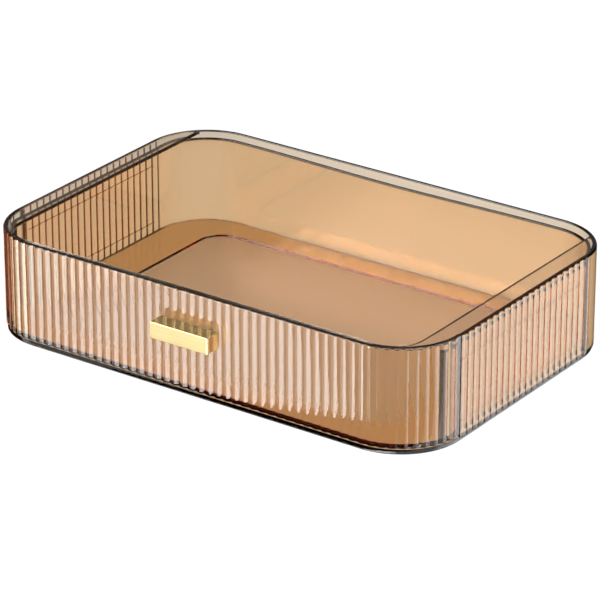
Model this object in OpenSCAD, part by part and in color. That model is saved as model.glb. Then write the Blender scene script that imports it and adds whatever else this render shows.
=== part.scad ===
// Single-tier countertop organizer: an amber clear-plastic casing that is open
// at the top and front, and a fluted drawer that slides out towards -Y.
// The origin is at the middle of the bounding box, on the surface it stands on.

/* [Overall] */
// Width over the flutes
body_w = 270; // [240:1:300]
// Depth from the drawer front to the back wall
body_d = 182.8; // [160:0.1:210]
// Height from the table to the rim
body_h = 55.7; // [48:0.1:64]
// Radius of the four plan corners
corner_r = 34.6; // [26:0.1:40]

/* [Casing] */
// Thickness of the casing wall, measured from the flute crests
wall_t = 2.2; // [1.8:0.1:2.6]
// Thickness of the base plate
base_t = 2.6; // [2.4:0.1:3]
// Height of the base lip that shows under the walls
lip_h = 1.4; // [1:0.1:1.8]
// Thickness of the top frame
frame_t = 1.9; // [1.5:0.1:2.4]
// Distance from the side of the casing to the opening of the top frame
frame_side = 13.1; // [11:0.1:16]
// Distance from the front plane to the opening of the top frame
frame_front = 4.8; // [4.6:0.1:6]
// Radius of the front corners of the opening
frame_r = 16; // [10:0.5:20]
// Height of the guide ribs inside the side walls
guide_h = 1; // [0.6:0.1:1.6]
// How far the guide ribs stand out
guide_p = 0.4; // [0.2:0.1:0.5]

/* [Flutes] */
// Distance between two flutes
flute_pitch = 5.31; // [5.2:0.01:5.4]
// Depth of the valleys between flutes
flute_d = 0.8; // [0.4:0.1:1]
// Number of flutes round the drawer front
front_n = 57; // [51:2:57]
// Number of flutes on each side wall
side_n = 21; // [15:1:21]
// Number of straight steps across one flute
flute_steps = 4; // [3:1:6]

/* [Drawer] */
// Thickness of the drawer front, measured from the flute crests
front_t = 2.5; // [2:0.1:2.8]
// Gap between the drawer front and the base plate
front_gap = 0.5; // [0.4:0.1:0.8]
// Free space between the casing wall and the tray wall
tray_gap = 0.9; // [0.8:0.1:1.2]
// Thickness of the tray walls
tray_t = 1.8; // [1.4:0.1:2.2]
// Underside of the tray above the table
tray_z = 3.2; // [3:0.1:3.6]
// Thickness of the tray floor
floor_t = 2; // [1.6:0.1:2.6]
// Depth of the shallow recess in the tray floor
recess_d = 0.8; // [0.4:0.1:1]
// Side margin of the recess, from the side of the casing
recess_side = 30; // [24:0.5:36]
// Front and back margin of the recess
recess_end = 20; // [16:0.5:26]
// Radius of the corners of the recess
recess_r = 15; // [8:0.5:20]
// Drop of the tray side walls below the rim
tray_drop = 4.5; // [4:0.1:6]
// Extra height of the back corners of the tray over its middle
tray_rise = 1.1; // [0.4:0.1:1.4]

/* [Handle] */
// Length of the handle bar
handle_l = 35; // [28:0.5:60]
// Height of the handle bar
handle_h = 8.7; // [7:0.1:11]
// How far the handle stands out in front of the flutes
handle_p = 9.5; // [8:0.1:14]
// Height of the middle of the handle above the table
handle_z = 35; // [30:0.1:40]
// Distance between the two handle screws
screw_gap = 20; // [14:0.5:24]

/* [Hidden] */
$fn = 64;
eps = 0.01;
total_d = body_d + handle_p;
y_front = handle_p - total_d / 2;      // plane of the front flute crests
y_back = total_d / 2;
hw = body_w / 2;
seam_y = y_front + corner_r + 0.6;     // where the drawer front ends and the casing wall starts
seam_gap = 0.4;
flute_r = (flute_pitch * flute_pitch / 4 + flute_d * flute_d) / (2 * flute_d);
tray_in = wall_t + tray_gap;           // inset of the outside of the tray
straight_x = hw - corner_r;
straight_len = 2 * straight_x;
arc_len = PI * corner_r / 2;
path_len = straight_len + 2 * arc_len + 2 * (seam_y - y_front - corner_r);

// depth of the valley profile at a distance s from a flute crest: 0 at the crest
function flute_depth(s) = flute_r - sqrt(flute_r * flute_r - s * s);

// point at path distance s from the middle of the drawer front, pushed in by g
function front_point(s, g) =
    let (a = abs(s), sg = s < 0 ? -1 : 1)
    a <= straight_x ? [s, y_front + g] :
    a <= straight_x + arc_len ?
        let (t = (a - straight_x) / corner_r * 180 / PI)
        [sg * (straight_x + (corner_r - g) * sin(t)), y_front + corner_r - (corner_r - g) * cos(t)] :
        [sg * (hw - g), y_front + corner_r + (a - straight_x - arc_len)];

// outside line of the drawer front, from the right seam to the left seam
front_half = front_n * flute_pitch / 2;
front_outer = concat(
    [front_point(path_len / 2, flute_d)],
    [for (i = [0 : front_n - 1], k = [0 : flute_steps - 1])
        let (c = front_half - (i + 0.5) * flute_pitch,
             o = flute_pitch / 2 - k * flute_pitch / flute_steps)
        front_point(c + o, flute_depth(o))],
    [front_point(-front_half, flute_d), front_point(-path_len / 2, flute_d)]);

// outside line of one side wall, from the seam to the start of the back corner
side_start = y_back - corner_r - side_n * flute_pitch;
function side_points(sg) = [
    for (i = [0 : side_n - 1], k = [0 : flute_steps - 1])
        let (c = side_start + (i + 0.5) * flute_pitch,
             o = -flute_pitch / 2 + k * flute_pitch / flute_steps)
        [sg * (hw - flute_depth(o)), c + o]];

// back half of the plan outline, inset by g, from y = y0 round the back
module back_outline(g, y0) {
    r = corner_r - g;
    union() {
        translate([-hw + g, y0]) square([body_w - 2 * g, y_back - corner_r - y0]);
        translate([-straight_x, y0]) square([straight_len, y_back - g - y0]);
        for (s = [-1, 1]) translate([s * straight_x, y_back - corner_r]) circle(r = r, $fn = 96);
    }
}

// full plan outline, inset by g
module outline(g) {
    r = corner_r - g;
    union() {
        translate([-hw + g, y_front + corner_r]) square([body_w - 2 * g, body_d - 2 * corner_r]);
        translate([-straight_x, y_front + g]) square([straight_len, body_d - 2 * g]);
        for (s = [-1, 1], y = [y_front + corner_r, y_back - corner_r])
            translate([s * straight_x, y]) circle(r = r, $fn = 96);
    }
}

// rectangle with round corners between two opposite corners
module round_rect(x0, y0, x1, y1, r) {
    union() {
        translate([x0 + r, y0]) square([x1 - x0 - 2 * r, y1 - y0]);
        translate([x0, y0 + r]) square([x1 - x0, y1 - y0 - 2 * r]);
        for (x = [x0 + r, x1 - r], y = [y0 + r, y1 - r]) translate([x, y]) circle(r = r, $fn = 64);
    }
}

// base plate: a lip all round, and a thicker middle that fits inside the walls
module casing_base() {
    color([0.86, 0.66, 0.46, 0.5]) union() {
        linear_extrude(lip_h) outline(0.5);
        translate([0, 0, lip_h - eps]) linear_extrude(base_t - lip_h + eps) union() {
            intersection() {
                outline(0.5);
                translate([-hw, y_front - 1]) square([body_w, seam_y - y_front + 1]);
            }
            intersection() {
                outline(wall_t);
                translate([-hw, seam_y - 1]) square([body_w, body_d]);
            }
        }
    }
}

// wall of the casing: fluted sides, plain round back corners and plain back
module casing_wall() {
    z0 = lip_h;
    y0 = seam_y + seam_gap;
    y_flat = y_back - corner_r;          // the flutes end where the back corners start
    color([0.88, 0.68, 0.48, 0.5]) union() {
        difference() {
            translate([0, 0, z0]) linear_extrude(body_h - z0) union() {
                polygon(concat(
                    [[hw - flute_d, y0]], side_points(1), [[hw - flute_d, y_flat]],
                    [[-(hw - flute_d), y_flat]],
                    [for (i = [len(side_points(-1)) - 1 : -1 : 0]) side_points(-1)[i]],
                    [[-(hw - flute_d), y0]]));
                intersection() {
                    back_outline(0, y_flat - 10);
                    translate([-hw - 1, y_flat - eps]) square([body_w + 2, corner_r + 1]);
                }
            }
            translate([0, 0, z0 - 1]) linear_extrude(body_h) back_outline(wall_t, y0 - 1);
        }
        // guide ribs that keep the drawer in the middle
        for (s = [-1, 1], z = [9.2, 41.8])
            translate([s > 0 ? hw - wall_t - guide_p : -hw + wall_t - eps, y0 + 2, z])
                cube([guide_p + eps, body_d - 2 * corner_r - 6, guide_h]);
    }
}

// flat frame round the open top: wide at the sides, narrow behind the drawer front
module top_frame() {
    color([0.90, 0.72, 0.54, 0.5])
    translate([0, 0, body_h - frame_t]) linear_extrude(frame_t) difference() {
        union() {
            intersection() {
                outline(front_t + 0.4);
                translate([-hw, y_front - 1]) square([body_w, seam_y + seam_gap + 0.2 - y_front + 1]);
            }
            intersection() {
                outline(wall_t);
                translate([-hw, seam_y + seam_gap]) square([body_w, body_d]);
            }
        }
        round_rect(-hw + frame_side, y_front + frame_front, hw - frame_side,
                   y_back + 40, frame_r);
    }
}

// upper edge of the tray: level sides that rise to the back corners
function smooth(t) = t <= 0 ? 0 : t >= 1 ? 1 : t * t * (3 - 2 * t);
tray_top = body_h - tray_drop;
function side_edge(y) = tray_top + tray_rise * smooth((y - (y_back - corner_r - 6)) / 26);
function back_edge(x) = tray_top + tray_rise * smooth(abs(x) / 92);

// tray of the drawer: floor with a shallow recess, two sides and a back
module drawer_tray() {
    top = tray_top + tray_rise;
    color([0.85, 0.63, 0.42, 0.5]) difference() {
        // straight sides that end against the back of the drawer front
        translate([0, 0, tray_z]) linear_extrude(top - tray_z) intersection() {
            outline(front_t);
            back_outline(tray_in, y_front);
        }
        // inside of the tray, open towards the drawer front
        translate([0, 0, tray_z + floor_t]) linear_extrude(body_h)
            back_outline(tray_in + tray_t, y_front - 1);
        // recess in the floor
        translate([0, 0, tray_z + floor_t - recess_d]) linear_extrude(20)
            round_rect(-hw + recess_side, y_front + recess_end - 2, hw - recess_side,
                       y_back - recess_end, recess_r);
        // upper edge along the sides
        for (s = [-1, 1]) translate([s * (hw - 8) - 8, 0, 0])
            rotate([90, 0, 90]) linear_extrude(16) polygon(concat(
                [[y_front - 1, side_edge(y_front)]],
                [for (i = [0 : 12]) let (y = y_back - corner_r - 6 + 26 * i / 12) [y, side_edge(y)]],
                [[y_back + 1, top], [y_back + 1, top + 5], [y_front - 1, top + 5]]));
        // upper edge along the back
        translate([0, y_back + 1, 0]) rotate([90, 0, 0]) linear_extrude(corner_r)
            polygon(concat(
                [for (i = [-12 : 12]) let (x = 92 * i / 12) [x, back_edge(x)]],
                [[92, top + 5], [-92, top + 5]]));
    }
}

// fluted drawer front that wraps round both front corners
module drawer_front() {
    z0 = base_t + front_gap;
    color([0.88, 0.68, 0.48, 0.5]) difference() {
        translate([0, 0, z0]) linear_extrude(body_h - z0) difference() {
            polygon(front_outer);
            outline(front_t);
        }
        for (s = [-1, 1]) translate([s * screw_gap / 2, y_front + 5, handle_z])
            rotate([90, 0, 0]) cylinder(h = 10, r = 1.6, $fn = 48);
    }
}

// solid metal bar with blind holes for its screws
module handle_bar() {
    color([0.93, 0.78, 0.45]) difference() {
        translate([-handle_l / 2, y_front - handle_p, handle_z - handle_h / 2])
            cube([handle_l, handle_p, handle_h]);
        for (s = [-1, 1]) translate([s * screw_gap / 2, y_front + 1, handle_z])
            rotate([90, 0, 0]) cylinder(h = 7, r = 1.5, $fn = 48);
    }
}

// two pan-head screws, put in from inside the drawer
module handle_screws() {
    color([0.80, 0.66, 0.36])
    for (s = [-1, 1]) translate([s * screw_gap / 2, y_front + front_t, handle_z])
        rotate([90, 0, 0]) difference() {
            union() {
                translate([0, 0, -1.8]) cylinder(h = 1.8, r = 3, $fn = 48);
                translate([0, 0, -eps]) cylinder(h = front_t + 5, r = 1.45, $fn = 48);
            }
            translate([0, 0, -2.4]) cube([3.6, 0.8, 2], center = true);
            translate([0, 0, -2.4]) cube([0.8, 3.6, 2], center = true);
        }
}

casing_base();
casing_wall();
top_frame();
drawer_tray();
drawer_front();
handle_bar();
handle_screws();
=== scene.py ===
import math

import bmesh
import bpy
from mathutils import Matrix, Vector


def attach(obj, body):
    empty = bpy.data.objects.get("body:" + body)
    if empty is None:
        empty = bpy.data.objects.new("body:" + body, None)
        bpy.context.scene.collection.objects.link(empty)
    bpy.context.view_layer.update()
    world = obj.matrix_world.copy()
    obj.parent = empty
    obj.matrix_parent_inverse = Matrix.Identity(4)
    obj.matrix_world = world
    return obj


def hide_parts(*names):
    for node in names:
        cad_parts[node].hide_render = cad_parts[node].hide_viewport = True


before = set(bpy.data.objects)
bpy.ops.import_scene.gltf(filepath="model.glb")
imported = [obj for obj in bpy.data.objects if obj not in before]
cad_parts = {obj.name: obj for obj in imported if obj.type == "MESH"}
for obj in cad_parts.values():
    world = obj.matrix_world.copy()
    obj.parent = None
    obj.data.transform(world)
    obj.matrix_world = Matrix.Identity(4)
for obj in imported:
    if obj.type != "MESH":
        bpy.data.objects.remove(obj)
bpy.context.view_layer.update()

# ---------------------------------------------------------------------------
# The CAD's sizes, in millimetres. Z is up and the drawer opens towards -Y.
# ---------------------------------------------------------------------------
HW = 135.0                      # half the width
YF, YB = -86.65, 96.15          # front plane of the flutes, back plane
H = 55.7                        # rim height
RC = 34.6                       # plan corner radius
SX = HW - RC                    # where the front and back corners start
WALL = 2.2
LIP, BASE = 1.4, 2.6
PITCH, DEPTH = 5.31, 0.8        # flutes
FRONT_N, SIDE_N = 57, 21
FRONT_T = 2.5
SEAM_Y = YF + RC + 0.6
WALL_Y0 = SEAM_Y + 0.4
Y_FLAT = YB - RC
SIDE_START = Y_FLAT - SIDE_N * PITCH
ARC = math.pi * RC / 2
FLUTE_R = (PITCH * PITCH / 4 + DEPTH * DEPTH) / (2 * DEPTH)
MM = 0.001


def smooth(t):
    t = min(1.0, max(0.0, t))
    return t * t * (3 - 2 * t)


def flute(s, r=FLUTE_R):
    """Depth below the crest line at a distance s from a crest."""
    s = min(abs(s), PITCH / 2)
    return r - math.sqrt(r * r - s * s)


SIDE_D = 0.5                    # the CAD has 0.8 here too; at 0.8 the lines on the left wall came out too wide and dark
SIDE_R = (PITCH * PITCH / 4 + SIDE_D * SIDE_D) / (2 * SIDE_D)


def arc(cx, cy, r, a0, a1, n):
    """n + 1 points on an arc, angles in degrees."""
    return [(cx + r * math.cos(math.radians(a0 + (a1 - a0) * i / n)),
             cy + r * math.sin(math.radians(a0 + (a1 - a0) * i / n))) for i in range(n + 1)]


# ---------------------------------------------------------------------------
# Mesh building: columns of section points, joined into quads
# ---------------------------------------------------------------------------
def new_object(name, bm, sharp=38.0, weighted=True):
    bmesh.ops.remove_doubles(bm, verts=bm.verts, dist=1e-6)
    bmesh.ops.dissolve_degenerate(bm, edges=bm.edges, dist=1e-7)
    bmesh.ops.recalc_face_normals(bm, faces=bm.faces)
    for f in bm.faces:
        f.smooth = True
    mesh = bpy.data.meshes.new(name)
    bm.to_mesh(mesh)
    bm.free()
    mesh.set_sharp_from_angle(angle=math.radians(sharp))
    o = bpy.data.objects.new(name, mesh)
    bpy.context.scene.collection.objects.link(o)
    if weighted:
        m = o.modifiers.new("even_normals", "WEIGHTED_NORMAL")
        m.keep_sharp = True
        m.weight = 50
    return o


def skin(columns, closed=False, cap_ends=True, cap_first=False, cap_last=False, dark=None):
    """Quads between columns of points (millimetres). A column's points run round a section, which is closed
    unless its first and last points are capped as rings. dark(i, j) is painted shade: how much the plastic is
    darkened in its colour at point j of column i, standing in for the dark look that bent light gives its edges."""
    bm = bmesh.new()
    painted_shade_layer = bm.verts.layers.float.new("edge")
    ring_caps = cap_first or cap_last
    vs = [[bm.verts.new([c * MM for c in p]) for p in col] for col in columns]
    if dark:
        for i, col in enumerate(vs):
            for j, v in enumerate(col):
                v[painted_shade_layer] = dark(i, j)
    n, k = len(vs), len(vs[0])
    for i in range(n if closed else n - 1):
        a, b = vs[i], vs[(i + 1) % n]
        for j in range(k - 1 if ring_caps else k):
            q = (a[j], b[j], b[(j + 1) % k], a[(j + 1) % k])
            bm.faces.new(q)
    if not closed and cap_ends:
        bm.faces.new([v for v in reversed(vs[0])])
        bm.faces.new([v for v in vs[-1]])
    if cap_first:
        bm.faces.new([vs[i][0] for i in reversed(range(n))])
    if cap_last:
        bm.faces.new([vs[i][-1] for i in range(n)])
    return bm


# ---------------------------------------------------------------------------
# Plan lines. Each gives (x, y) of a point at path distance s, pushed in by g.
# ---------------------------------------------------------------------------
FRONT_HALF = SX + ARC + 0.6     # half the path of the drawer front


def front_point(s, g):
    a, sg = abs(s), (-1 if s < 0 else 1)
    if a <= SX:
        return s, YF + g
    if a <= SX + ARC:
        t = (a - SX) / RC
        return sg * (SX + (RC - g) * math.sin(t)), YF + RC - (RC - g) * math.cos(t)
    return sg * (HW - g), YF + RC + (a - SX - ARC)


SIDE_L = Y_FLAT - WALL_Y0
WALL_L = 2 * SIDE_L + 2 * ARC + 2 * SX


def wall_point(s, g):
    """U path of the casing wall, from the right seam round the back to the left seam."""
    if s <= SIDE_L:
        return HW - g, WALL_Y0 + s
    s2 = s - SIDE_L
    if s2 <= ARC:
        t = s2 / RC
        return SX + (RC - g) * math.cos(t), Y_FLAT + (RC - g) * math.sin(t)
    s2 -= ARC
    if s2 <= 2 * SX:
        return SX - s2, YB - g
    s2 -= 2 * SX
    if s2 <= ARC:
        t = s2 / RC
        return -SX - (RC - g) * math.sin(t), Y_FLAT + (RC - g) * math.cos(t)
    return -(HW - g), Y_FLAT - (s2 - ARC)


EDGE = 1.2                      # radius of the outer top edge


def rim_section(depth, z0, thick, foot=0.3, bumps=()):
    """Section of a fluted wall as (inset, z), from the foot up the outside, over the rim and down the inside.
    depth is how far the outside is pushed in here. The rounded rim cuts the flutes in a scalloped line."""
    d = min(depth, EDGE - 0.02)
    start = math.degrees(math.acos(max(-1.0, min(1.0, 1 - d / EDGE))))
    pts = [(depth + foot, z0), (depth + foot * 0.3, z0 + foot * 0.3), (depth, z0 + foot)]
    pts += [(depth, z0 + foot + 0.6), (depth, z0 + foot + 1.0), (depth, H - EDGE - 1.6)]
    for i in range(8):          # the rounded outer edge
        a = math.radians(start + (90 - start) * i / 7)
        pts.append((EDGE * (1 - math.cos(a)), H - EDGE + EDGE * math.sin(a)))
    r = 0.75
    for i in range(6):
        a = math.radians(90 - 90 * i / 5)
        pts.append((thick - r + r * math.cos(a), H - r + r * math.sin(a)))
    pts.append((thick, H - r - 0.5))
    for z, p in bumps:          # guide ribs on the inside
        pts += [(thick, z + 1.15), (thick + p, z + 0.9), (thick + p, z + 0.1), (thick, z - 0.15)]
    pts.append((thick, z0 + foot + 0.5))
    pts += [(thick, z0 + foot), (thick - foot * 0.3, z0 + foot * 0.3), (thick - foot, z0)]
    return pts


# ---------------------------------------------------------------------------
# Materials
# ---------------------------------------------------------------------------
FROST_CLEAR, FROST_ROUGH = 0.95, 0.26


def amber(name, seed, frosted=None, density=400.0):
    """Clear amber moulded plastic: bent light, absorption by thickness, and the faint ripple and hairlines of a
    moulded and wiped surface. frosted is the lowest and highest corner (metres) of a part of it that is matt."""
    m = bpy.data.materials.new(name)
    m.use_nodes = True
    nt = m.node_tree
    nt.nodes.clear()
    out = nt.nodes.new("ShaderNodeOutputMaterial")
    p = nt.nodes.new("ShaderNodeBsdfPrincipled")
    # painted shade: the mesh's edge attribute darkens the plastic's colour towards black on rims, seams and the recess
    # step, standing in for the dark look that bent light gives rounded edges
    at = nt.nodes.new("ShaderNodeAttribute")
    at.attribute_name = "edge"
    painted_edge_shade = nt.nodes.new("ShaderNodeValToRGB")
    painted_edge_shade.color_ramp.elements[0].color = (1.0, 0.985, 0.965, 1)
    painted_edge_shade.color_ramp.elements[1].color = (0.006, 0.004, 0.003, 1)
    painted_edge_shade.color_ramp.elements[0].position = 0.1
    painted_edge_shade.color_ramp.elements[1].position = 0.95
    nt.links.new(at.outputs["Fac"], painted_edge_shade.inputs["Fac"])
    nt.links.new(painted_edge_shade.outputs["Color"], p.inputs["Base Color"])
    p.inputs["Transmission Weight"].default_value = 1.0
    p.inputs["IOR"].default_value = 1.49
    nt.links.new(p.outputs[0], out.inputs["Surface"])
    vol = nt.nodes.new("ShaderNodeVolumeAbsorption")
    vol.inputs["Color"].default_value = (0.90, 0.62, 0.20, 1)
    vol.inputs["Density"].default_value = density
    nt.links.new(vol.outputs[0], out.inputs["Volume"])
    geo = nt.nodes.new("ShaderNodeTexCoord")
    # hairline wipe marks in the roughness
    st = nt.nodes.new("ShaderNodeMapping")
    st.inputs["Location"].default_value = (seed * 0.37, seed * 0.11, seed * 0.23)
    st.inputs["Scale"].default_value = (60.0, 60.0, 900.0)
    nt.links.new(geo.outputs["Object"], st.inputs[0])
    wipe = nt.nodes.new("ShaderNodeTexNoise")
    wipe.inputs["Scale"].default_value = 1.0
    wipe.inputs["Detail"].default_value = 3.0
    nt.links.new(st.outputs[0], wipe.inputs["Vector"])
    rr = nt.nodes.new("ShaderNodeMapRange")
    rr.inputs["From Min"].default_value = 0.35
    rr.inputs["From Max"].default_value = 0.75
    rr.inputs["To Min"].default_value = 0.030       # below 0.027 the renderer's own noise shows as blotches
    rr.inputs["To Max"].default_value = 0.050
    nt.links.new(wipe.outputs["Fac"], rr.inputs["Value"])
    if frosted is None:
        nt.links.new(rr.outputs[0], p.inputs["Roughness"])
    else:                       # the recessed panel of the tray floor is faintly frosted
        (x0, y0, z0), (x1, y1, z1) = frosted
        sep = nt.nodes.new("ShaderNodeSeparateXYZ")
        nt.links.new(geo.outputs["Object"], sep.inputs[0])
        mask = None
        for axis, lo, hi, soft in ((0, x0, x1, 0.0006), (1, y0, y1, 0.0006), (2, z0, z1, 0.0001)):
            d = nt.nodes.new("ShaderNodeMath")
            d.operation = "SUBTRACT"
            d.inputs[1].default_value = (lo + hi) / 2
            nt.links.new(sep.outputs[axis], d.inputs[0])
            a = nt.nodes.new("ShaderNodeMath")
            a.operation = "ABSOLUTE"
            nt.links.new(d.outputs[0], a.inputs[0])
            f = nt.nodes.new("ShaderNodeMapRange")
            f.inputs["From Min"].default_value = (hi - lo) / 2 - soft
            f.inputs["From Max"].default_value = (hi - lo) / 2
            f.inputs["To Min"].default_value = 1.0
            f.inputs["To Max"].default_value = 0.0
            nt.links.new(a.outputs[0], f.inputs["Value"])
            if mask is None:
                mask = f.outputs[0]
            else:
                mul = nt.nodes.new("ShaderNodeMath")
                mul.operation = "MULTIPLY"
                nt.links.new(mask, mul.inputs[0])
                nt.links.new(f.outputs[0], mul.inputs[1])
                mask = mul.outputs[0]
        haze = nt.nodes.new("ShaderNodeMapRange")
        haze.inputs["To Min"].default_value = 1.0
        haze.inputs["To Max"].default_value = FROST_CLEAR
        nt.links.new(mask, haze.inputs["Value"])
        nt.links.new(haze.outputs[0], p.inputs["Transmission Weight"])
        rough = nt.nodes.new("ShaderNodeMath")
        rough.operation = "MULTIPLY_ADD"
        rough.inputs[1].default_value = FROST_ROUGH
        nt.links.new(mask, rough.inputs[0])
        nt.links.new(rr.outputs[0], rough.inputs[2])
        nt.links.new(rough.outputs[0], p.inputs["Roughness"])
    # slow ripple of a moulded sheet
    rip = nt.nodes.new("ShaderNodeTexNoise")
    rip.inputs["Scale"].default_value = 38.0
    rip.inputs["Detail"].default_value = 1.5
    bump = nt.nodes.new("ShaderNodeBump")
    bump.inputs["Strength"].default_value = 0.02
    bump.inputs["Distance"].default_value = 0.0006
    nt.links.new(geo.outputs["Object"], rip.inputs["Vector"])
    nt.links.new(rip.outputs["Fac"], bump.inputs["Height"])
    nt.links.new(bump.outputs[0], p.inputs["Normal"])
    return m


def gold(name, base, rough0, rough1):
    """Polished plated bar: fine lengthwise grain and a faint change of tone."""
    m = bpy.data.materials.new(name)
    m.use_nodes = True
    nt = m.node_tree
    p = nt.nodes["Principled BSDF"]
    p.inputs["Metallic"].default_value = 1.0
    geo = nt.nodes.new("ShaderNodeTexCoord")
    mp = nt.nodes.new("ShaderNodeMapping")
    mp.inputs["Scale"].default_value = (25.0, 2500.0, 2500.0)
    nt.links.new(geo.outputs["Object"], mp.inputs[0])
    grain = nt.nodes.new("ShaderNodeTexNoise")
    grain.inputs["Scale"].default_value = 1.0
    grain.inputs["Detail"].default_value = 4.0
    nt.links.new(mp.outputs[0], grain.inputs["Vector"])
    rr = nt.nodes.new("ShaderNodeMapRange")
    rr.inputs["To Min"].default_value = rough0
    rr.inputs["To Max"].default_value = rough1
    nt.links.new(grain.outputs["Fac"], rr.inputs["Value"])
    nt.links.new(rr.outputs[0], p.inputs["Roughness"])
    tone = nt.nodes.new("ShaderNodeTexNoise")
    tone.inputs["Scale"].default_value = 90.0
    nt.links.new(geo.outputs["Object"], tone.inputs["Vector"])
    ramp = nt.nodes.new("ShaderNodeValToRGB")
    ramp.color_ramp.elements[0].color = [c * 0.94 for c in base] + [1]
    ramp.color_ramp.elements[1].color = list(base) + [1]
    ramp.color_ramp.elements[0].position = 0.3
    ramp.color_ramp.elements[1].position = 0.7
    nt.links.new(tone.outputs["Fac"], ramp.inputs["Fac"])
    nt.links.new(ramp.outputs[0], p.inputs["Base Color"])
    bump = nt.nodes.new("ShaderNodeBump")
    bump.inputs["Strength"].default_value = 0.04
    bump.inputs["Distance"].default_value = 0.0001
    nt.links.new(grain.outputs["Fac"], bump.inputs["Height"])
    nt.links.new(bump.outputs[0], p.inputs["Normal"])
    return m


def finish_piece(o, body, node, mat):
    o.data.materials.append(mat)
    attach(o, body)
    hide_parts(node)
    return o


# ---------------------------------------------------------------------------
# Casing wall: fluted sides, smooth round back corners, plain back
# ---------------------------------------------------------------------------
STEPS = 12
wall_s = [0.0, 0.5]
first = SIDE_START - WALL_Y0
for i in range(SIDE_N):
    for k in range(STEPS):
        wall_s.append(first + PITCH * (i + k / STEPS))
wall_s.append(SIDE_L)
HALF = [SIDE_L + PITCH / 2 * k / 6 for k in range(1, 7)]
wall_s += HALF
wall_s += [SIDE_L + PITCH / 2 + (ARC - PITCH / 2) * k / 22 for k in range(1, 23)]
wall_s += [SIDE_L + ARC + 2 * SX * k / 40 for k in range(1, 21)]
wall_s = wall_s + [WALL_L - s for s in reversed(wall_s[:-1])]


def wall_depth(s):
    s = min(s, WALL_L - s)
    if s < SIDE_L - 1e-6:
        u = WALL_Y0 + s
        if u < SIDE_START:
            return SIDE_D
        k = (u - SIDE_START) % PITCH
        return flute(k - PITCH / 2, SIDE_R)
    return flute(max(0.0, PITCH / 2 - (s - SIDE_L)), SIDE_R)


def guide(s):
    """How far the guide ribs stand out at path distance s."""
    s = min(s, WALL_L - s)
    return 0.4 * smooth((s - 2) / 1.2) * smooth((SIDE_L - 4 - s) / 1.2)


cols = []
for s in wall_s:
    sec = rim_section(wall_depth(s), LIP, WALL, 0.3, ((41.8, guide(s)), (9.2, guide(s))))
    cols.append([(*wall_point(s, g), z) for g, z in sec])


# painted shade: the foot, the rounded rim and the seam ends of the casing wall are darkened in the plastic's colour
def wall_painted_shade(i, j):
    if i in (0, len(cols) - 1):
        return 1.0
    return 1.0 if 10 <= j <= 18 or j <= 2 else 0.5 if j in (9, 19) else 0.0


casing_wall = new_object("casing_wall_fluted", skin(cols, dark=wall_painted_shade))

# ---------------------------------------------------------------------------
# Drawer front: one fluted wall that wraps round both front corners
# ---------------------------------------------------------------------------
front_s = [-FRONT_HALF]
edge = FRONT_N * PITCH / 2
front_s += [-FRONT_HALF + 0.6, -edge - 1.0]
for i in range(FRONT_N):
    for k in range(STEPS):
        front_s.append(-edge + PITCH * (i + k / STEPS))
front_s += [edge, edge + 1.0, FRONT_HALF - 0.6, FRONT_HALF]


def front_depth(s):
    a = abs(s)
    if a >= edge:
        return DEPTH
    return flute((a + PITCH / 2) % PITCH - PITCH / 2)


cols = []
for s in front_s:
    sec = rim_section(front_depth(s), BASE + 0.5, FRONT_T, 0.3)
    cols.append([(*front_point(s, g), z) for g, z in sec])


# painted shade: the end columns, the foot, the rounded rim and the inside bottom of the drawer front are darkened in
# the plastic's colour
def front_painted_shade(i, j):
    if i < 2 or i > len(cols) - 3:
        return 1.0
    return 1.0 if 9 <= j <= 18 or j <= 3 or j > 21 else 0.5 if j in (8, 19) else 0.0


drawer_front = new_object("drawer_front_fluted", skin(cols, dark=front_painted_shade))

# ---------------------------------------------------------------------------
# Top frame: flat plate flush with the rim
# ---------------------------------------------------------------------------
FT, FS, FF, FR = 1.9, 13.1, 4.8, 16.0
TIGHT = 0.03                    # glued faces stand this far apart


def frame_section(a, b):
    """Section between the outer point a and the inner point b, with rounded inner edges."""
    ax, ay = a
    bx, by = b
    w = math.hypot(bx - ax, by - ay)
    r = min(0.8, w * 0.4)
    ro = min(0.3, w * 0.2)
    inside = w - r - (0.3 if w > 3 else 0.02)
    pts = [(0, H - FT + ro), ]
    pts += [(ro - ro * math.cos(math.radians(t)), H - ro + ro * math.sin(math.radians(t))) for t in (0, 45, 90)]
    pts += [(inside, H)]
    pts += [(w - r + r * math.sin(math.radians(t)), H - r + r * math.cos(math.radians(t))) for t in (0, 22.5, 45, 67.5, 90)]
    pts += [(w - r + r * math.cos(math.radians(t)), H - FT + r - r * math.sin(math.radians(t))) for t in (0, 22.5, 45, 67.5, 90)]
    pts += [(inside, H - FT), (ro, H - FT)]
    return [(ax + (bx - ax) * u / w, ay + (by - ay) * u / w, z) for u, z in pts]


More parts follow.
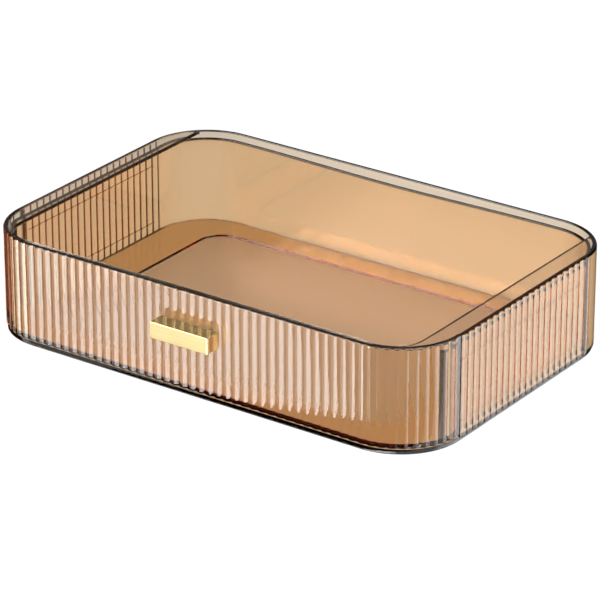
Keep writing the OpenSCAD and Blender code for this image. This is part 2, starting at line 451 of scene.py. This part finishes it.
IX = HW - FS
rc_in = RC - WALL - TIGHT
y_end = Y_FLAT + math.sqrt(rc_in ** 2 - (IX + 0.6 - SX) ** 2)
pairs = []
for i in range(25):             # along the back corner
    y = y_end + (Y_FLAT - y_end) * i / 24
    pairs.append(((SX + math.sqrt(rc_in ** 2 - (y - Y_FLAT) ** 2), y), (IX, y)))
y_c = YF + FF + FR
SG = 2.9 + 0.0
y_step = SEAM_Y + 0.4
for i in range(1, 12):
    y = Y_FLAT + (y_step + 0.2 - Y_FLAT) * i / 11
    pairs.append(((HW - WALL - TIGHT, y), (IX, y)))
pairs.append(((HW - SG, y_step + 0.2), (IX, y_step + 0.2)))
for i in range(1, 25):          # round the front corner
    t = math.radians(90 * i / 24)
    outer = (SX + (RC - SG) * math.cos(t), YF + RC - (RC - SG) * math.sin(t))
    inner = (IX - FR + FR * math.cos(t), y_c - FR * math.sin(t))
    if i == 1:
        pairs.append(((HW - SG, YF + RC), (IX, (YF + RC + y_c) / 2 + 4)))
        pairs.append(((SX + (RC - SG) * math.cos(t / 2), YF + RC - (RC - SG) * math.sin(t / 2)), (IX, y_c)))
    pairs.append((outer, inner))
right = pairs
line = right + [((0.0, YF + SG), (0.0, YF + FF))] + [((-a[0], a[1]), (-b[0], b[1])) for a, b in reversed(right)]
cols = [frame_section(a, b) for a, b in line]


# painted shade: the rounded inner edges of the frame are darkened in the plastic's colour, and the narrow strip behind
# the drawer front nearly black
def frame_painted_shade(i, j):
    a, b = line[i]
    if math.hypot(b[0] - a[0], b[1] - a[1]) < 3:        # the narrow strip behind the drawer front
        return 0.9
    return 1.0 if 5 <= j <= 14 else 0.0


top_frame = new_object("top_frame_plate", skin(cols, dark=frame_painted_shade))

# ---------------------------------------------------------------------------
# Tray: sides and back, a floor with a shallow recess
# ---------------------------------------------------------------------------
TI, TT = 3.1, 1.8               # outer inset and thickness of the tray walls
TZ, FLOOR = 3.2, 5.2
RECESS = 0.8
TOP, RISE = H - 4.5, 1.1
GAP = 0.02                      # the tray stands this far from the drawer front it is glued to
r_f = RC - FRONT_T - GAP        # inside of the drawer front, in the corners
x_o, x_i = HW - TI, HW - TI - TT
y_o = YF + RC - math.sqrt(r_f ** 2 - (x_o - SX) ** 2)    # where the outside of the tray wall meets the front
y_i = YF + RC - math.sqrt(r_f ** 2 - (x_i - SX) ** 2)    # where its inside does


def tray_top(x, y):
    side = smooth((y - (YB - RC - 6)) / 26)
    back = smooth(abs(x) / 92) if y > YB - 8 else 1.0
    return TOP + RISE * min(side, back)


# half of the plan, from the middle of the front to the middle of the back: (outer x, y, inner x, y, has a wall)
half = []
for i in range(13):
    x = SX * i / 12
    half.append((x, YF + FRONT_T + GAP, x, YF + FRONT_T + GAP, 0))
t_i = math.acos((YF + RC - y_i) / r_f)
for i in range(1, 25):
    t = t_i * i / 24
    x, y = SX + r_f * math.sin(t), YF + RC - r_f * math.cos(t)
    half.append((x, y, x, y, 0))
half.append((x_i, y_i, x_i, y_i, 1))
for i in range(1, 9):
    y = y_i + (y_o - y_i) * i / 8
    half.append((SX + math.sqrt(r_f ** 2 - (y - YF - RC) ** 2), y, x_i, y, 1))
for i in range(1, 31):
    y = y_o + (Y_FLAT - y_o) * i / 30
    half.append((x_o, y, x_i, y, 1))
for i in range(1, 31):
    t = math.radians(90 * i / 30)
    half.append((SX + (RC - TI) * math.cos(t), Y_FLAT + (RC - TI) * math.sin(t),
                 SX + (RC - TI - TT) * math.cos(t), Y_FLAT + (RC - TI - TT) * math.sin(t), 1))
for i in range(1, 21):
    x = SX - SX * i / 20
    half.append((x, YB - TI, x, YB - TI - TT, 1))
plan = half + [(-a, b, -c, d, w) for a, b, c, d, w in reversed(half[1:-1])]

RX, RY0, RY1, RR = HW - 30.0, YF + 18.0, YB - 20.0, 15.0


def recess_point(x, y, g):
    """Point of the recess outline (inset by g) seen from the middle of the floor towards (x, y)."""
    cx, cy = 0.0, (RY0 + RY1) / 2
    hx, hy, r = RX - g, (RY1 - RY0) / 2 - g, RR - g
    dx, dy = x - cx, y - cy
    # follow the ray to the rounded rectangle by bisection
    lo, hi = 0.0, 2.0
    for _ in range(40):
        m = (lo + hi) / 2
        px, py = abs(dx * m), abs(dy * m)
        qx, qy = px - (hx - r), py - (hy - r)
        d = math.hypot(max(qx, 0), max(qy, 0)) + min(max(qx, qy), 0) - r
        if d < 0:
            lo = m
        else:
            hi = m
    return cx + dx * lo, cy + dy * lo


def tray_section(ox, oy, ix, iy, wall):
    z1 = tray_top(ox, oy) if wall else FLOOR
    w = math.hypot(ox - ix, oy - iy)
    if w > 1e-6:
        nx, ny = (ix - ox) / w, (iy - oy) / w
    else:
        d = math.hypot(ox, oy + 0.0)
        nx, ny = -ox / d, -oy / d
    r = min(0.6, w * 0.45)
    pts = [(ox + nx * 0.35, oy + ny * 0.35, TZ), (ox + nx * 0.1, oy + ny * 0.1, TZ + 0.1), (ox, oy, TZ + 0.35)]
    if wall:
        pts += [(ox, oy, TZ + 1.2), (ox, oy, z1 - 1.6)]
        for t in (0, 22.5, 45, 67.5, 90):
            a = math.radians(t)
            q = r - r * math.cos(a)
            pts.append((ox + nx * q, oy + ny * q, z1 - r + r * math.sin(a)))
        for t in (90, 67.5, 45, 22.5, 0):
            a = math.radians(t)
            q = w - r + r * math.cos(a)
            pts.append((ox + nx * q, oy + ny * q, z1 - r + r * math.sin(a)))
        rf = 1.0
        pts += [(ix, iy, z1 - 1.6)]
        for t in (0, 22.5, 45, 67.5, 90):
            a = math.radians(t)
            q = rf - rf * math.cos(a)
            pts.append((ix + nx * q, iy + ny * q, FLOOR + rf - rf * math.sin(a)))
    else:
        pts += [(ox, oy, FLOOR)] * 18
    for g, z in ((0, FLOOR), (0.12, FLOOR - 0.05), (0.3, FLOOR - 0.25), (0.5, FLOOR - RECESS + 0.2),
                 (0.75, FLOOR - RECESS + 0.04), (1.0, FLOOR - RECESS)):
        x, y = recess_point(ix, iy, g)
        pts.append((x, y, z))
    return pts


cols = [tray_section(*p) for p in plan]
# painted shade: the tops of the tray walls and the step of the floor recess are darkened in the plastic's colour
TRAY_PAINTED_SHADE = {22: 0.85, 23: 0.85, 24: 0.85, 25: 0.4}


def tray_painted_shade(i, j):
    if plan[i][4] and 5 <= j <= 14:
        return 0.95
    return TRAY_PAINTED_SHADE.get(j, 0.0)


tray = new_object("drawer_tray_shell", skin(cols, closed=True, cap_first=True, cap_last=True, dark=tray_painted_shade))

# ---------------------------------------------------------------------------
# Base: a smooth lip all round, and a middle that fits inside the walls
# ---------------------------------------------------------------------------
base_plan = []
for i in range(13):
    base_plan.append((SX * i / 12, YF + 0.5, 0))
for i in range(1, 25):
    t = math.radians(90 * i / 24)
    base_plan.append((SX + (RC - 0.5) * math.sin(t), YF + RC - (RC - 0.5) * math.cos(t), 0))
base_plan.append((HW - 0.5, SEAM_Y - 0.3, 0))
base_plan.append((HW - 0.5, SEAM_Y - 0.3, 1))
for i in range(1, 21):
    base_plan.append((HW - 0.5, SEAM_Y + (Y_FLAT - SEAM_Y) * i / 20, 1))
for i in range(1, 25):
    t = math.radians(90 * i / 24)
    base_plan.append((SX + (RC - 0.5) * math.cos(t), Y_FLAT + (RC - 0.5) * math.sin(t), 1))
for i in range(1, 14):
    base_plan.append((SX - SX * i / 13, YB - 0.5, 1))
base_plan = base_plan + [(-x, y, w) for x, y, w in reversed(base_plan[1:-1])]


def inward(x, y, g):
    """Moves a point of the base outline in by g."""
    cx = max(-SX, min(SX, x))
    cy = max(YF + RC, min(Y_FLAT, y))
    dx, dy = x - cx, y - cy
    d = math.hypot(dx, dy)
    return x - dx / d * g, y - dy / d * g


cols = []
for x, y, inside in base_plan:
    pts = []
    for g, z in ((0.45, 0.0), (0.13, 0.13), (0.0, 0.45), (0.0, LIP - 0.3)):
        pts.append((*inward(x, y, g), z))
    if inside:
        pts += [(*inward(x, y, g), z) for g, z in ((0.09, LIP - 0.09), (0.3, LIP), (WALL - 0.5 + 0.03, LIP),
                                                    (WALL - 0.5 + 0.03, BASE - 0.3), (WALL - 0.5 + 0.3, BASE))]
    else:
        pts += [(*inward(x, y, g), z) for g, z in ((0.0, LIP - 0.1), (0.0, LIP), (0.0, LIP + 0.4),
                                                    (0.12, BASE - 0.12), (0.4, BASE))]
    cols.append(pts)
base = new_object("casing_base_plate", skin(cols, closed=True, cap_first=True, cap_last=True))


# ---------------------------------------------------------------------------
# Handle bar and screws
# ---------------------------------------------------------------------------
def handle():
    bm = bmesh.new()
    bmesh.ops.create_cube(bm, size=1.0)
    x, y, z = 35.0, 9.5, 8.7
    for v in bm.verts:
        v.co = Vector((v.co.x * x, YF - 9.5 / 2 + v.co.y * y, 35.0 + v.co.z * z)) * MM
    bmesh.ops.bevel(bm, geom=list(bm.edges), offset=0.35 * MM, segments=4, profile=0.5, affect="EDGES")
    return new_object("handle_bar_gold", bm, sharp=60)


bar = handle()

# lit and shaded copies of one amber plastic: the density differs per piece to match how light or dark each piece looks;
# the denser base and tray are painted shade for the dim light under the object
mats = {"base": amber("amber_base", 3)}
mats["wall"] = amber("amber_wall", 1, density=220.0)
mats["front"] = amber("amber_front", 2, density=180.0)
mats["frame"] = amber("amber_frame", 4, density=70.0)   # the frame hardly tints what is behind it in the photo
mats["tray"] = amber("amber_tray", 5, [[c * MM for c in v] for v in (
    (-RX + 0.9, RY0 + 0.9, FLOOR - RECESS - 0.25), (RX - 0.9, RY1 - 0.9, FLOOR - RECESS + 0.25))])
finish_piece(casing_wall, "casing", "casing_wall", mats["wall"])
finish_piece(drawer_front, "drawer", "drawer_front", mats["front"])
finish_piece(top_frame, "casing", "top_frame", mats["frame"])
finish_piece(tray, "drawer", "drawer_tray", mats["tray"])
finish_piece(base, "casing", "casing_base", mats["base"])
finish_piece(bar, "drawer", "handle_bar", gold("gold_bar", (0.93, 0.72, 0.36), 0.06, 0.16))
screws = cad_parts["handle_screws"]
screws.data.materials.clear()
screws.data.materials.append(gold("screw_gold", (0.78, 0.60, 0.30), 0.2, 0.35))

# ---------------------------------------------------------------------------
# Floor, light and camera
#
# The photo shows clear plastic in bright field: a white ground, and a dark
# studio round it that draws the edges dark. So the ground is lit from within,
# the rest of the studio is dark, and a few soft boxes hang in it.
# ---------------------------------------------------------------------------
def stage_object(name, verts, faces, mat):
    mesh = bpy.data.meshes.new(name)
    mesh.from_pydata(verts, [], faces)
    mesh.update()
    o = bpy.data.objects.new(name, mesh)
    bpy.context.scene.collection.objects.link(o)
    o.data.materials.append(mat)
    o.visible_shadow = False
    return o


def seen_by(o, camera=False, glossy=False, transmission=False, diffuse=False):
    o.visible_camera, o.visible_glossy = camera, glossy
    o.visible_transmission, o.visible_diffuse = transmission, diffuse
    o.visible_volume_scatter = False


def glow(name, strength):
    """Plain white light material; strength is a number or a function that builds the nodes of one."""
    m = bpy.data.materials.new(name)
    m.use_nodes = True
    nt = m.node_tree
    nt.nodes.clear()
    out = nt.nodes.new("ShaderNodeOutputMaterial")
    em = nt.nodes.new("ShaderNodeEmission")
    nt.links.new(em.outputs[0], out.inputs["Surface"])
    if callable(strength):
        nt.links.new(strength(nt), em.inputs["Strength"])
    else:
        em.inputs["Strength"].default_value = strength
    return m


def math_node(nt, op, a, b=None, c=None):
    n = nt.nodes.new("ShaderNodeMath")
    n.operation = op
    for i, v in enumerate((a, b, c)):
        if v is None:
            continue
        if isinstance(v, (int, float)):
            n.inputs[i].default_value = v
        else:
            nt.links.new(v, n.inputs[i])
    return n.outputs[0]


def fall(nt, value, inner, outer):
    """1 where value is below inner, 0 where it is above outer, with a soft edge between."""
    n = nt.nodes.new("ShaderNodeMapRange")
    n.interpolation_type = "SMOOTHSTEP"
    nt.links.new(value, n.inputs["Value"])
    n.inputs["From Min"].default_value = inner
    n.inputs["From Max"].default_value = outer
    n.inputs["To Min"].default_value = 1.0
    n.inputs["To Max"].default_value = 0.0
    return n.outputs[0]


def dot(nt, vector, d):
    n = nt.nodes.new("ShaderNodeVectorMath")
    n.operation = "DOT_PRODUCT"
    nt.links.new(vector, n.inputs[0])
    n.inputs[1].default_value = d
    return n.outputs["Value"]


Q = 3.0
white = glow("floor_white", 1.02)
dome_v, dome_f = [], []
for i in range(9):
    for k in range(32):
        a, e = 2 * math.pi * k / 32, math.pi / 2 * i / 8
        dome_v.append((Q * math.cos(e) * math.cos(a), Q * math.cos(e) * math.sin(a), Q * math.sin(e) - 0.0002))
for i in range(8):
    for k in range(32):
        dome_f.append((i * 32 + k, i * 32 + (k + 1) % 32, (i + 1) * 32 + (k + 1) % 32, (i + 1) * 32 + k))
floor = stage_object("floor", [(-Q, -Q, -0.0002), (Q, -Q, -0.0002), (Q, Q, -0.0002), (-Q, Q, -0.0002)],
                     [(0, 1, 2, 3)], white)
backdrop = stage_object("backdrop", dome_v, dome_f, white)
seen_by(floor, camera=True)
seen_by(backdrop, camera=True)

GROUND = 0.78                   # brightness of the lit ground as the plastic shows it


def ground_light(nt):
    """A plain round pool of white light under and round the object, the same from every side."""
    n = nt.nodes.new("ShaderNodeVectorMath")
    n.operation = "LENGTH"
    nt.links.new(nt.nodes.new("ShaderNodeNewGeometry").outputs["Position"], n.inputs[0])
    return math_node(nt, "MULTIPLY_ADD", fall(nt, n.outputs["Value"], 0.25, 0.33), GROUND - 0.42, 0.42)


lit = stage_object("floor_glow", [(-Q, -Q, -0.0003), (Q, -Q, -0.0003), (Q, Q, -0.0003), (-Q, Q, -0.0003)],
                   [(0, 1, 2, 3)], glow("floor_glow", ground_light))
seen_by(lit, transmission=True, diffuse=True)

# two black flags before the right end of the front, one lying and one standing: they keep the low light off the
# right front corner
black = glow("flag_black", 0.0)
flag = stage_object("flag_lying", [(x * MM, (YF + y) * MM, -0.0001) for x, y in (
    (-60, -1), (30, -11), (66, -20), (104, -34), (104, -600), (700, -600), (700, 4), (136, 4), (110, -1))],
    [(8, 7, 6, 5, 4, 3, 2, 1, 0)], black)
seen_by(flag, glossy=True)
flag = stage_object("flag_standing", [(105 * MM, (YF + y) * MM, z * MM) for y, z in (
    (-1.5, 0), (-130, 0), (-130, 80), (-1.5, 80))], [(0, 1, 2, 3)], black)
seen_by(flag, glossy=True)

# (azimuth from -Y towards +X, elevation, half width, half height, soft edge, brightness), degrees
BOXES = (
    (-35, 44, 38, 16, 8, 7.0),
    (-35, 24, 5, 5, 3, 8.0),
    (160, 62, 60, 18, 14, 3.0),
    (-140, 22, 30, 12, 14, 0.2),
    (-2, -24, 26, 16, 20, 10.0),
    (-37, -24, 4, 16, 2, 0.95),
    (-52, -24, 10, 16, 6, 2.5),
    (58, -24, 35, 18, 16, 1.6),
    (-133, -24, 3, 16, 4, 5.0),
    (125, -24, 30, 18, 16, 3.8),
)
world = bpy.data.worlds.new("studio")
bpy.context.scene.world = world
world.use_nodes = True
wn = world.node_tree
wn.nodes.clear()
wo = wn.nodes.new("ShaderNodeOutputWorld")
bg = wn.nodes.new("ShaderNodeBackground")
wn.links.new(bg.outputs[0], wo.inputs[0])
direction = wn.nodes.new("ShaderNodeTexCoord").outputs["Generated"]
height = math_node(wn, "MULTIPLY", math_node(wn, "ARCSINE", dot(wn, direction, (0, 0, 1))), 180 / math.pi)
total = None
for az, el, half_az, half_el, soft, level in BOXES:
    a = math.radians(az)
    side = dot(wn, direction, (math.cos(a), math.sin(a), 0))
    ahead = dot(wn, direction, (math.sin(a), -math.cos(a), 0))
    turn = math_node(wn, "ABSOLUTE", math_node(wn, "MULTIPLY", math_node(wn, "ARCTAN2", side, ahead), 180 / math.pi))
    lift = math_node(wn, "ABSOLUTE", math_node(wn, "SUBTRACT", height, float(el)))
    m = math_node(wn, "MULTIPLY", fall(wn, turn, half_az - soft / 2, half_az + soft / 2),
                  fall(wn, lift, half_el - soft / 2, half_el + soft / 2))
    total = math_node(wn, "MULTIPLY_ADD", m, level, 0.03 if total is None else total)
wn.links.new(total, bg.inputs["Strength"])
bg.inputs["Color"].default_value = (1, 1, 1, 1)

cam_data = bpy.data.cameras.new("camera")
cam = bpy.data.objects.new("camera", cam_data)
bpy.context.scene.collection.objects.link(cam)
cam_data.sensor_width = 36.0
cam_data.lens = 227.33
cam.location = (1.01174, -1.42241, 0.81258)
cam.rotation_mode = "QUATERNION"
cam.rotation_quaternion = (-Vector((0.5262, -0.7430, 0.4135))).to_track_quat("-Z", "Y")
cam_data.clip_start, cam_data.clip_end = 0.05, 50.0
bpy.context.scene.camera = cam

sc = bpy.context.scene
sc.view_settings.view_transform = "Standard"
sc.view_settings.look = "None"
sc.cycles.max_bounces = 24
sc.cycles.transmission_bounces = 24
sc.cycles.glossy_bounces = 16
sc.cycles.diffuse_bounces = 4
